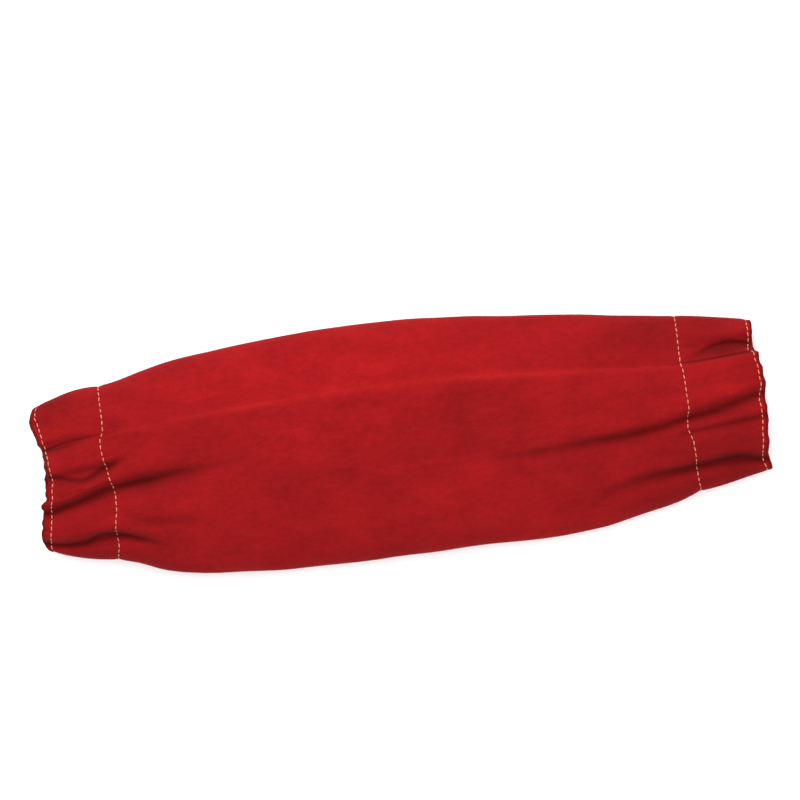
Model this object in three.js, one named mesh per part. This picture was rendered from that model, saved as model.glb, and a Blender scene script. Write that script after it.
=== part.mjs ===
// A welder's sleeve of red split leather, lying flat: a wide tube closed by one long seam,
// gathered at both ends on elastic bands that run in turned-in hems.
// Units are millimetres. X runs along the sleeve to the wrist, Y across it, Z up.
import * as THREE from "three";

// Driving sizes of the sleeve as it lies
const sleeveLength = 584;
const bodyWidth = 187;
const armEdgeWidth = 114;
const armRowWidth = 139;
const wristEdgeWidth = 120;
const wristRowWidth = 139.5;
const bodyHeight = 40;
const rowHeight = 35;
const edgeHeight = 32;

// Driving sizes of the leather, the hems and the bands
const leather = 1.4;
const armCasing = 54;
const wristCasing = 59.5;
const edgeRowInset = 4.5;
const hemPastRow = 6;
const seamAllowance = 9;
const seamGroove = 0.9;
const bandWidth = 38;
const bandThickness = 1.2;
const clearance = 0.3;

// Shape of a cross-section: how square the crown is, the share of the width that lies flat on the
// ground, and the height of the side fold as a share of the crown's height
const crownPower = 2.4;
const flatShare = 0.72;
const sideShare = 0.34;

// The edges of both cuffs are a little wavy, so the nominal edges lie inside the overall length
const waveRoom = 3;
const armEdge = -sleeveLength / 2 + waveRoom;
const wristEdge = sleeveLength / 2 - waveRoom;
const armRow = armEdge + armCasing;
const wristRow = wristEdge - wristCasing;
const bodySpan = wristRow - armRow;

// The body between the two inner stitch rows. along: share of that span. up, down: how far the two
// sides have swelled from the row's width to the body's. crown: the same for the height.
const bodySections = [
  { along: 0.0, up: 0.0, down: 0.0, crown: 0.0 },
  { along: 0.035, up: 0.12, down: 0.2, crown: 0.22 },
  { along: 0.08, up: 0.33, down: 0.51, crown: 0.48 },
  { along: 0.13, up: 0.54, down: 0.74, crown: 0.7 },
  { along: 0.2, up: 0.69, down: 0.88, crown: 0.9 },
  { along: 0.3, up: 0.85, down: 0.98, crown: 1.0 },
  { along: 0.42, up: 0.96, down: 1.0, crown: 0.98 },
  { along: 0.54, up: 0.94, down: 0.96, crown: 0.9 },
  { along: 0.64, up: 0.81, down: 0.93, crown: 0.8 },
  { along: 0.74, up: 0.63, down: 0.97, crown: 0.68 },
  { along: 0.83, up: 0.42, down: 0.83, crown: 0.5 },
  { along: 0.9, up: 0.24, down: 0.58, crown: 0.32 },
  { along: 0.96, up: 0.09, down: 0.3, crown: 0.14 },
  { along: 1.0, up: 0.0, down: 0.0, crown: 0.0 },
];

// How fast each cuff widens from its edge to its row: 1 is a straight taper
const armCuffBow = 2.2;
const wristCuffBow = 1.25;

// Lines that run the length of the top face: the seam, and the lines that the gathers follow.
// Each number is a share of the half width there, 1 at the far side and -1 at the near side.
const topLines = [
  { name: "far side", armEdge: 1, armRow: 1, armBody: 1, middle: 1, wristBody: 1, wristRow: 1, wristEdge: 1 },
  { name: "far gather", armEdge: 0.74, armRow: 0.74, armBody: 0.74, middle: 0.74, wristBody: 0.73, wristRow: 0.64, wristEdge: 0.72 },
  { name: "seam", armEdge: 0.39, armRow: 0.43, armBody: 0.45, middle: 0.48, wristBody: 0.5, wristRow: 0.48, wristEdge: 0.58 },
  { name: "upper gather", armEdge: -0.01, armRow: 0.06, armBody: 0.17, middle: 0.02, wristBody: -0.2, wristRow: -0.12, wristEdge: 0.05 },
  { name: "lower gather", armEdge: -0.45, armRow: -0.16, armBody: -0.03, middle: -0.25, wristBody: -0.46, wristRow: -0.33, wristEdge: -0.28 },
  { name: "near gather", armEdge: -0.86, armRow: -0.71, armBody: -0.74, middle: -0.72, wristBody: -0.7, wristRow: -0.71, wristEdge: -0.82 },
  { name: "near side", armEdge: -1, armRow: -1, armBody: -1, middle: -1, wristBody: -1, wristRow: -1, wristEdge: -1 },
];
const armBodyAt = 0.14;
const wristBodyAt = 0.8;

// Valleys of the gathers. edge, casing, row: depth in the cuff, as shares of gatherDepth.
// reach: how far the valley runs into the body, as a share of the body's span.
// far, near: half widths of its two flanks, as shares of gatherSpread.
const gatherDepth = 6;
const gatherSpread = 9;
const topGathers = [
  { line: "seam", cuff: "arm", edge: 0.6, casing: 0.5, row: 0.15, reach: 0.05, far: 0.5, near: 0.9 },
  { line: "upper gather", cuff: "arm", edge: 0.4, casing: 0.6, row: 0.6, reach: 0.05, far: 0.45, near: 0.8 },
  { line: "lower gather", cuff: "arm", edge: 0.7, casing: 0.9, row: 1.0, reach: 0.2, far: 0.5, near: 1.0 },
  { line: "near gather", cuff: "arm", edge: 0.7, casing: 0.8, row: 0.8, reach: 0.1, far: 0.4, near: 0.8 },
  { line: "far gather", cuff: "wrist", edge: 0.8, casing: 0.8, row: 0.2, reach: 0.03, far: 0.7, near: 0.5 },
  { line: "upper gather", cuff: "wrist", edge: 0.8, casing: 0.9, row: 0.9, reach: 0.3, far: 0.5, near: 1.0 },
  { line: "lower gather", cuff: "wrist", edge: 0.5, casing: 0.4, row: 0.3, reach: 0.05, far: 0.5, near: 0.8 },
  { line: "near gather", cuff: "wrist", edge: 0.8, casing: 0.9, row: 0.8, reach: 0.2, far: 0.5, near: 0.9 },
];
// Valleys of the underside, alike in both cuffs. across: share of the half width.
const underGathers = [
  { across: -0.55, depth: 0.5 },
  { across: -0.12, depth: 0.4 },
  { across: 0.3, depth: 0.5 },
  { across: 0.62, depth: 0.35 },
];
const underReach = 0.12;

// Soft dents of the body's top. along: share of the body's span. across: share of the half width.
// depth: share of dentDepth. length: share of the span. width: share of the body's width.
const dentDepth = 3;
const dents = [
  { along: 0.2, across: 0.25, depth: 0.7, length: 0.1, width: 0.1 },
  { along: 0.38, across: -0.45, depth: 0.8, length: 0.12, width: 0.16 },
  { along: 0.62, across: 0.1, depth: 0.6, length: 0.14, width: 0.12 },
  { along: 0.8, across: -0.45, depth: 1.0, length: 0.09, width: 0.12 },
];

// Waves of the two cuffs' edges seen from above. across: share of the half width.
// arm, wrist: how far the edge stands back, as shares of waveDepth. The seam steps the wrist's edge.
const waveDepth = 5;
const edgeWaves = [
  { across: 1.0, arm: 0.3, wrist: 0.3 },
  { across: 0.82, arm: -0.2, wrist: 0.6 },
  { across: 0.6, arm: 0.35, wrist: 0.9 },
  { across: 0.585, arm: 0.4, wrist: 0.85 },
  { across: 0.57, arm: 0.4, wrist: -0.05 },
  { across: 0.36, arm: 1.2, wrist: -0.35 },
  { across: 0.1, arm: 0.8, wrist: -0.5 },
  { across: -0.05, arm: 1.1, wrist: -0.2 },
  { across: -0.28, arm: 0.7, wrist: -0.55 },
  { across: -0.42, arm: -0.1, wrist: -0.4 },
  { across: -0.85, arm: -0.5, wrist: -0.05 },
  { across: -1.0, arm: 0.4, wrist: -0.4 },
];

// How finely the sleeve is divided: steps between the lines of the top face, and under it
const topSteps = [5, 4, 8, 7, 7, 5];
const underSteps = 19;
const evenShare = 0.55;
const bodyStops = [0.05, 0.09, 0.14, 0.2, 0.27, 0.34, 0.41, 0.48, 0.55, 0.62, 0.69, 0.76, 0.82, 0.88, 0.925, 0.96];
const turnSteps = 4;

const leatherMaterial = new THREE.MeshStandardMaterial({ color: 0xa51a20, roughness: 0.92, metalness: 0 });
const bandMaterial = new THREE.MeshStandardMaterial({ color: 0xe6e1d6, roughness: 0.8, metalness: 0 });

// A smooth curve through one column of a table, whose rows rise or fall along the key column
function smoothAt(rows, key, column, at) {
  const falling = rows[0][key] > rows[rows.length - 1][key];
  const ordered = falling ? [...rows].reverse() : rows;
  const last = ordered.length - 1;
  if (at <= ordered[0][key]) return ordered[0][column];
  if (at >= ordered[last][key]) return ordered[last][column];
  const i = ordered.findIndex((row) => row[key] > at) - 1;
  const slope = (n) => {
    const before = ordered[Math.max(n - 1, 0)];
    const after = ordered[Math.min(n + 1, last)];
    return (after[column] - before[column]) / (after[key] - before[key]);
  };
  const [a, b] = [ordered[i], ordered[i + 1]];
  const width = b[key] - a[key];
  const t = (at - a[key]) / width;
  const bulge = (1 - t) * slope(i) * width - t * slope(i + 1) * width;
  const rise = b[column] - a[column];
  return a[column] + rise * t + t * (1 - t) * (bulge - (1 - 2 * t) * rise);
}

function straightAt(rows, key, column, at) {
  const ordered = [...rows].sort((p, q) => p[key] - q[key]);
  const i = ordered.findIndex((row) => row[key] > at);
  if (i === 0) return ordered[0][column];
  if (i < 0) return ordered[ordered.length - 1][column];
  const [a, b] = [ordered[i - 1], ordered[i]];
  return a[column] + ((b[column] - a[column]) * (at - a[key])) / (b[key] - a[key]);
}

const mix = THREE.MathUtils.lerp;
const ease = THREE.MathUtils.smoothstep;

// The cross-section's half widths and heights at x
function sectionAt(x) {
  const inArm = x < armRow;
  const inWrist = x > wristRow;
  if (inArm || inWrist) {
    const share = inArm ? (x - armEdge) / armCasing : (wristEdge - x) / wristCasing;
    const within = THREE.MathUtils.clamp(share, 0, 1);
    const bow = 1 - (1 - within) ** (inArm ? armCuffBow : wristCuffBow);
    const atEdge = inArm ? armEdgeWidth : wristEdgeWidth;
    const atRow = inArm ? armRowWidth : wristRowWidth;
    const half = mix(atEdge, atRow, bow) / 2;
    const height = mix(edgeHeight, rowHeight, within);
    return { up: half, down: half, height, side: height * sideShare };
  }
  const along = (x - armRow) / bodySpan;
  const row = mix(armRowWidth, wristRowWidth, along) / 2;
  const up = mix(row, bodyWidth / 2, smoothAt(bodySections, "along", "up", along));
  const down = mix(row, bodyWidth / 2, smoothAt(bodySections, "along", "down", along));
  const height = mix(rowHeight, bodyHeight, smoothAt(bodySections, "along", "crown", along));
  return { up, down, height, side: height * sideShare };
}

// The share of the half width at which a line of the top face lies, at x
function lineAt(line, x) {
  const stops = [
    { x: armEdge, share: line.armEdge },
    { x: armRow, share: line.armRow },
    { x: armRow + armBodyAt * bodySpan, share: line.armBody },
    { x: (armRow + wristRow) / 2, share: line.middle },
    { x: armRow + wristBodyAt * bodySpan, share: line.wristBody },
    { x: wristRow, share: line.wristRow },
    { x: wristEdge, share: line.wristEdge },
  ];
  return smoothAt(stops, "x", "share", x);
}

// Steps from 0 to 1 that are finer at both ends
function easedStep(i, count) {
  const t = i / count;
  return evenShare * t + ((1 - evenShare) * (1 - Math.cos(Math.PI * t))) / 2;
}

// Once round the sleeve at x: over the top from the far side to the near one, and back underneath
function roundTheSleeve(x) {
  const round = [];
  topSteps.forEach((count, strip) => {
    const from = lineAt(topLines[strip], x);
    const to = lineAt(topLines[strip + 1], x);
    for (let i = 0; i < count; i++) round.push({ across: mix(from, to, easedStep(i, count)), top: true });
  });
  for (let i = 0; i < underSteps; i++) round.push({ across: mix(-1, 1, easedStep(i, underSteps)), top: false });
  return round;
}

// Depth of a gather's valley at x: set by the cuff's table, then fading into the body
function valleyDepth(gather, x) {
  const fromArm = gather.cuff === "arm";
  const past = fromArm ? (x - armRow) / bodySpan : (wristRow - x) / bodySpan;
  if (past >= gather.reach) return 0;
  if (past > 0) return gatherDepth * gather.row * Math.cos((Math.PI / 2) * (past / gather.reach)) ** 2;
  const within = fromArm ? (x - armEdge) / armCasing : (wristEdge - x) / wristCasing;
  const stops = [
    { at: 0, depth: gather.edge },
    { at: 0.5, depth: gather.casing },
    { at: 1, depth: gather.row },
  ];
  return gatherDepth * smoothAt(stops, "at", "depth", within);
}

// How far the top face sinks at x and y. Valleys grow wider in the deeper layers, so that the plies
// never cross.
function topSink(x, across, y, half, depth) {
  let sink = 0;
  for (const gather of topGathers) {
    const valley = valleyDepth(gather, x);
    if (valley === 0) continue;
    const share = lineAt(topLines.find((line) => line.name === gather.line), x);
    const from = y - share * half;
    const width = gatherSpread * (from > 0 ? gather.far : gather.near) + depth;
    sink += valley * Math.exp(-((from / width) ** 2));
  }
  const along = (x - armRow) / bodySpan;
  for (const dent of dents) {
    const fromX = (along - dent.along) / dent.length;
    const fromY = ((across - dent.across) * half) / (dent.width * bodyWidth);
    sink += dentDepth * dent.depth * Math.exp(-(fromX ** 2) - fromY ** 2);
  }
  return sink * (1 - Math.abs(across) ** 12);
}

function underRise(x, across, half, depth) {
  const past = Math.max(armRow - x, x - wristRow) / bodySpan;
  const fade = ease(past, -underReach, 0);
  let rise = 0;
  for (const gather of underGathers) {
    const from = (across - gather.across) * half;
    rise += gatherDepth * gather.depth * Math.exp(-((from / (gatherSpread + depth)) ** 2));
  }
  return rise * fade * (1 - Math.abs(across) ** 12);
}

// How far the cuffs' wavy edges and rows shift a point along X: full at the edge, none in the body
function waveShift(x, across, top) {
  const cuff = x < 0 ? "arm" : "wrist";
  const share = x < 0 ? (armRow - x) / armCasing : (x - wristRow) / wristCasing;
  const at = top ? straightAt(edgeWaves, "across", cuff, across) : 0;
  const sides = mix(edgeWaves[edgeWaves.length - 1][cuff], edgeWaves[0][cuff], (across + 1) / 2);
  const back = waveDepth * (top ? at : sides) * ease(share, 0, 1);
  return x < 0 ? back : -back;
}

// 1 over the strip inside the wall that the two turned-in edges of the long seam cover
function overAllowance(fromSeam) {
  const fade = 2;
  return ease(fromSeam, -seamAllowance - fade, -seamAllowance) * (1 - ease(fromSeam, 0, fade));
}

// A point of the layer at this depth under the outer face. seam adds the seam's groove and lip
// (on the outer face) or its allowance (on the inmost face).
function layerPoint(x, place, depth, seam) {
  const { across, top } = place;
  const section = sectionAt(x);
  const half = across > 0 ? section.up : section.down;
  const side = Math.abs(across);
  const sign = Math.sign(across);
  const y = across * half;
  const crown = Math.sqrt(Math.max(0, 1 - side ** crownPower));
  const curl = Math.max(0, (side - flatShare) / (1 - flatShare));
  const level = Math.sqrt(Math.max(0, 1 - curl ** 2));
  const slope = top
    ? ((section.height - section.side) * crownPower * side ** (crownPower - 1)) / (2 * half)
    : (section.side * curl) / ((1 - flatShare) * half);
  const z = top ? section.side + (section.height - section.side) * crown : section.side * (1 - level);
  const outward = new THREE.Vector2(sign * slope, top ? crown : -level).normalize();
  let inset = depth;
  let sink = top ? topSink(x, across, y, half, depth) : -underRise(x, across, half, depth);
  if (top && seam) {
    const fromSeam = y - lineAt(topLines[2], x) * half;
    if (seam === "allowance") inset += 2 * leather * overAllowance(fromSeam);
    if (seam === "groove") sink += seamGroove * Math.exp(-((fromSeam / leather) ** 2));
  }
  return new THREE.Vector3(x + waveShift(x, across, top), y - inset * outward.x, z - inset * outward.y - sink);
}

// A closed skin: a closed profile of stops along the sleeve, carried once round it
function skinOf(profile) {
  const around = roundTheSleeve(0).length;
  const positions = [];
  const faces = [];
  for (const stop of profile) {
    for (const place of roundTheSleeve(stop.x)) {
      const point = layerPoint(stop.x, place, stop.depth, stop.seam);
      positions.push(point.x + (stop.shift ?? 0), point.y, point.z);
    }
  }
  // Each four-sided patch is halved along the same diagonal in every layer, so that plies that lie
  // close together never cross.
  const at = (i, k) => (i % profile.length) * around + (k % around);
  for (let i = 0; i < profile.length; i++) {
    const towardsWrist = profile[(i + 1) % profile.length].x >= profile[i].x;
    for (let k = 0; k < around; k++) {
      const [a, b, c, d] = [at(i, k), at(i + 1, k), at(i + 1, k + 1), at(i, k + 1)];
      if (towardsWrist) faces.push(a, c, b, a, d, c);
      else faces.push(a, d, b, d, c, b);
    }
  }
  const geometry = new THREE.BufferGeometry();
  geometry.setAttribute("position", new THREE.Float32BufferAttribute(positions, 3));
  geometry.setIndex(faces);
  geometry.computeVertexNormals();
  return geometry;
}

// Distances from a cuff's edge to the places where its hem changes: the edge row, the band's two
// edges and middle, the inner row, and the raw edge of the hem
function casingStops(casing) {
  const middle = (edgeRowInset + casing) / 2;
  const bandStart = middle - bandWidth / 2;
  const bandEnd = middle + bandWidth / 2;
  return { edgeRow: edgeRowInset, bandStart, middle, bandEnd, row: casing, rawEdge: casing + hemPastRow };
}

const pocket = bandThickness + 2 * clearance;
const turnRadius = leather + clearance / 2;

// One cuff's stops, from the outer face at the inner row, round the edge, along the hem inside the
// sleeve, round its raw edge, and back along the pocket to the wall's inner face at the inner row
function cuffStops(edge, inward, casing) {
  const at = casingStops(casing);
  const stop = (from, depth, seam) => ({ x: edge + inward * from, depth, seam });
  const outer = [at.bandEnd, at.middle, at.bandStart, at.edgeRow, turnRadius].map((from) => stop(from, 0, "groove"));
  const turn = [];
  for (let i = 1; i < turnSteps; i++) {
    const angle = (Math.PI * i) / turnSteps;
    turn.push({
      ...stop(turnRadius, turnRadius * (1 - Math.cos(angle))),
      shift: -inward * turnRadius * Math.sin(angle),
    });
  }
  const tight = leather + clearance;
  const wide = leather + pocket;
  const hem = [
    [turnRadius, tight],
    [at.edgeRow, tight],
    [at.bandStart, wide],
    [at.middle, wide],
    [at.bandEnd, wide],
    [at.row, tight],
    [at.rawEdge, tight],
  ];
  const inside = hem.map(([from, depth]) => stop(from, depth + leather, "allowance"));
  const hidden = [...hem].reverse().map(([from, depth]) => stop(from, depth));
  const tip = { ...stop(turnRadius, turnRadius), shift: (-inward * clearance) / 2 };
  const wall = [turnRadius, at.edgeRow, at.bandStart, at.middle, at.bandEnd].map((from) => stop(from, leather));
  return [...outer, ...turn, ...inside, ...hidden, tip, ...wall];
}

// The leather tube with its hems: along the outer face, round the wrist's cuff, back along the
// inner face, and round the arm's cuff
function makeSleeveBody() {
  const hemShare = hemPastRow / bodySpan;
  const stops = [0, hemShare, ...bodyStops, 1 - hemShare, 1];
  const last = stops.length - 1;
  const outer = stops.map((along) => ({ x: armRow + along * bodySpan, depth: 0, seam: "groove" }));
  const inner = stops.map((along, i) => ({
    x: armRow + along * bodySpan,
    depth: leather,
    seam: i > 1 && i < last - 1 ? "allowance" : undefined,
  }));
  const wristCuff = cuffStops(wristEdge, -1, wristCasing);
  const armCuff = cuffStops(armEdge, 1, armCasing);
  const profile = [...outer, ...wristCuff, ...inner.reverse(), ...armCuff.reverse()];
  return skinOf(profile);
}

// A flat elastic band, lying in its casing with a little room all round
function makeBand(edge, inward, casing) {
  const at = casingStops(casing);
  const near = leather + clearance;
  const far = near + bandThickness;
  const across = [at.bandStart, at.middle, at.bandEnd];
  const outer = across.map((from) => ({ x: edge + inward * from, depth: near }));
  const inner = across.map((from) => ({ x: edge + inward * from, depth: far }));
  const profile = [...outer, ...inner.reverse()];
  return skinOf(inward > 0 ? profile : profile.reverse());
}

function named(name, geometry, material) {
  const mesh = new THREE.Mesh(geometry, material);
  mesh.name = name;
  return mesh;
}

const sleeve = new THREE.Group();
sleeve.add(named("sleeve_body", makeSleeveBody(), leatherMaterial));
sleeve.add(named("arm_elastic", makeBand(armEdge, 1, armCasing), bandMaterial));
sleeve.add(named("wrist_elastic", makeBand(wristEdge, -1, wristCasing), bandMaterial));

// The origin is the middle of the ground that the sleeve covers
const bounds = new THREE.Box3().setFromObject(sleeve);
const centre = bounds.getCenter(new THREE.Vector3());
sleeve.position.set(-centre.x, -centre.y, -bounds.min.z);

const part = new THREE.Group();
part.add(sleeve);
export default part;
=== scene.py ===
# The looks of a welder's sleeve of red split leather, lying flat on a pale floor.
# Units are metres. X runs along the sleeve to the wrist, Y across it, Z up.
import math

import bmesh
import bpy
import numpy as np
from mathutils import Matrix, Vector, noise


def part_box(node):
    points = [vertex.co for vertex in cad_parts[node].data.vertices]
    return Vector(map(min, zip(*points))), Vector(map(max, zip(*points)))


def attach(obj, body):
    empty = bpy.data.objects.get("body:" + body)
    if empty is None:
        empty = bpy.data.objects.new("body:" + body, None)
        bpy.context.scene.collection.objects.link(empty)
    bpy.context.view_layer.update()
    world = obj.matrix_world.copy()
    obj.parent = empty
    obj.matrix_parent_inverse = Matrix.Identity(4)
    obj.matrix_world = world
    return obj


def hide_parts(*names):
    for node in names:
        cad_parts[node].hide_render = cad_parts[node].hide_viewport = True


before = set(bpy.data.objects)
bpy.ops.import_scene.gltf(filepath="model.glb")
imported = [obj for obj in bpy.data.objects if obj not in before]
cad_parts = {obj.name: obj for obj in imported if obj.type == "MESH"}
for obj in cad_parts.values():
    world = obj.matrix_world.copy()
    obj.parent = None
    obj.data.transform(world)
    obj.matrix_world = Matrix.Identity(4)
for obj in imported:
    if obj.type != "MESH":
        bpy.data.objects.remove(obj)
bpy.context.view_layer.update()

MM = 0.001

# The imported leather's own corners
LOW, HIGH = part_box("sleeve_body")

# Sizes of the sleeve as it lies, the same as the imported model's. Wave room: kept at each end for
# the edges' waves.
LENGTH = 584 * MM
WAVE_ROOM = 3 * MM
BODY_WIDTH = 187 * MM
ARM_EDGE_WIDTH = 114 * MM
ARM_ROW_WIDTH = 139 * MM
WRIST_EDGE_WIDTH = 120 * MM
WRIST_ROW_WIDTH = 139.5 * MM
BODY_HEIGHT = 40 * MM
ROW_HEIGHT = 35 * MM
EDGE_HEIGHT = 32 * MM

# Sizes of the leather, the hems and the bands
LEATHER = 1.4 * MM
ARM_CASING = 54 * MM
WRIST_CASING = 59.5 * MM
EDGE_ROW_INSET = 4.5 * MM
HEM_PAST_ROW = 6 * MM
SEAM_ALLOWANCE = 9 * MM
ALLOWANCE_LAYERS = 2
ALLOWANCE_FADE = 2 * MM
BAND_WIDTH = 38 * MM
BAND_THICKNESS = 1.2 * MM
CLEARANCE = 0.3 * MM
POCKET = BAND_THICKNESS + 2 * CLEARANCE
TURN_RADIUS = LEATHER + CLEARANCE / 2

# Shape of a cross-section, and how fast each cuff widens from its edge to its row
CROWN_POWER = 2.4
FLAT_SHARE = 0.72
SIDE_SHARE = 0.34
ARM_CUFF_BOW = 2.2
WRIST_CUFF_BOW = 1.25

ARM_EDGE = -LENGTH / 2 + WAVE_ROOM
WRIST_EDGE = LENGTH / 2 - WAVE_ROOM
ARM_ROW = ARM_EDGE + ARM_CASING
WRIST_ROW = WRIST_EDGE - WRIST_CASING
BODY_SPAN = WRIST_ROW - ARM_ROW

# The body between the two inner stitch rows. along: share of that span. up, down: how far the two
# sides have swelled from the row's width to the body's. crown: the same for the height.
BODY_SECTIONS = (
    ("along", "up", "down", "crown"),
    (0.0, 0.0, 0.0, 0.0),
    (0.035, 0.12, 0.2, 0.22),
    (0.08, 0.33, 0.51, 0.48),
    (0.13, 0.54, 0.74, 0.7),
    (0.2, 0.69, 0.88, 0.9),
    (0.3, 0.85, 0.98, 1.0),
    (0.42, 0.96, 1.0, 0.98),
    (0.54, 0.94, 0.96, 0.9),
    (0.64, 0.81, 0.93, 0.8),
    (0.74, 0.63, 0.99, 0.68),
    (0.83, 0.42, 0.87, 0.5),
    (0.9, 0.24, 0.58, 0.32),
    (0.96, 0.09, 0.3, 0.14),
    (1.0, 0.0, 0.0, 0.0),
)

# Lines that run the length of the top face, with a value at each stop along X. Each value is a
# share of the half width: 1 at the far side, -1 at the near side.
ARM_BODY_AT = 0.14
WRIST_BODY_AT = 0.8
LINE_STOPS = (
    ARM_EDGE,
    ARM_ROW,
    ARM_ROW + ARM_BODY_AT * BODY_SPAN,
    (ARM_ROW + WRIST_ROW) / 2,
    ARM_ROW + WRIST_BODY_AT * BODY_SPAN,
    WRIST_ROW,
    WRIST_EDGE,
)
TOP_LINES = {
    "far side": (1, 1, 1, 1, 1, 1, 1),
    "far gather": (0.74, 0.74, 0.74, 0.74, 0.73, 0.64, 0.72),
    "seam": (0.39, 0.43, 0.434, 0.474, 0.457, 0.456, 0.58),
    "upper gather": (-0.01, 0.06, 0.17, 0.02, -0.245, -0.16, 0.045),
    "lower gather": (-0.45, -0.18, -0.1, -0.25, -0.46, -0.33, -0.28),
    "near gather": (-0.86, -0.71, -0.74, -0.72, -0.7, -0.71, -0.82),
    "near side": (-1, -1, -1, -1, -1, -1, -1),
}

# Valleys of the gathers, in millimetres. edge, casing, row: depths in the cuff. reach: how far the
# valley runs into the body, as a share of its span. far, near: half widths of its two flanks.
TOP_GATHERS = (
    ("line", "cuff", "edge", "casing", "row", "reach", "far", "near"),
    ("seam", "arm", 3.6, 3.0, 0.9, 0.05, 4.5, 8.0),
    ("upper gather", "arm", 2.4, 3.6, 3.6, 0.05, 4.0, 7.2),
    ("lower gather", "arm", 4.2, 5.4, 6.0, 0.2, 4.5, 9.0),
    ("near gather", "arm", 4.2, 4.8, 4.8, 0.1, 3.6, 7.2),
    ("far gather", "wrist", 4.8, 4.8, 1.2, 0.03, 6.3, 4.5),
    ("upper gather", "wrist", 4.8, 5.4, 5.4, 0.3, 4.5, 9.0),
    ("lower gather", "wrist", 3.0, 2.4, 1.8, 0.05, 4.5, 7.2),
    ("near gather", "wrist", 4.8, 5.4, 4.8, 0.2, 4.5, 8.0),
)

# Valleys of the underside, alike in both cuffs. across: share of the half width.
# depth: millimetres.
UNDER_GATHERS = (
    ("across", "depth"),
    (-0.55, 3.0),
    (-0.12, 2.4),
    (0.3, 3.0),
    (0.62, 2.1),
)
UNDER_SPREAD = 9 * MM
UNDER_REACH = 0.12

# Power by which valleys, folds and dents die out towards the sides
SIDE_FADE = 12

# Soft dents of the body's top. along: share of the span. across: share of the half width.
# depth: millimetres. length: share of the span. width: share of the body's width.
DENTS = (
    ("along", "across", "depth", "length", "width"),
    (0.2, 0.25, 2.1, 0.1, 0.1),
    (0.38, -0.45, 2.4, 0.12, 0.16),
    (0.62, 0.1, 1.8, 0.14, 0.12),
    (0.8, -0.45, 3.0, 0.09, 0.12),
)

# Waves of the cuffs' edges and inner rows seen from above. across: share of the half width.
# The other columns: how far the edge or row stands back towards the body, in millimetres.
WAVES = (
    ("across", "arm edge", "arm row", "wrist edge", "wrist row"),
    (1.0, 1.5, 1.8, 1.5, 2.6),
    (0.82, -1.0, 2.4, 3.0, 3.2),
    (0.6, 1.8, 3.3, 4.5, 3.6),
    (0.585, 2.0, 3.3, 2.2, 3.8),
    (0.57, 2.4, 3.2, 0.6, 3.8),
    (0.46, 5.2, 3.0, -0.3, 3.9),
    (0.39, 7.2, 0.3, -0.6, 2.7),
    (0.27, 9.0, 0.1, -1.4, 2.2),
    (0.1, 8.6, 1.8, -1.2, 2.0),
    (-0.05, 8.7, 3.9, 0.1, 1.5),
    (-0.28, 5.4, 7.1, -1.2, 3.8),
    (-0.335, 1.9, 7.0, -0.8, 2.6),
    (-0.385, 1.3, 7.0, -0.5, 1.5),
    (-0.42, 2.2, 7.0, -0.3, 0.7),
    (-0.68, 0.0, 3.6, 0.6, -0.4),
    (-0.85, -1.7, 4.6, 0.5, -0.6),
    (-1.0, 2.0, 1.8, -2.0, -2.4),
)
WAVE_FADE = 45 * MM

# How far the underside's edges and rows stand back in their middle, in millimetres
UNDER_BOWS = {"arm edge": 2.2, "arm row": 0, "wrist edge": 0, "wrist row": 0}

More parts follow.
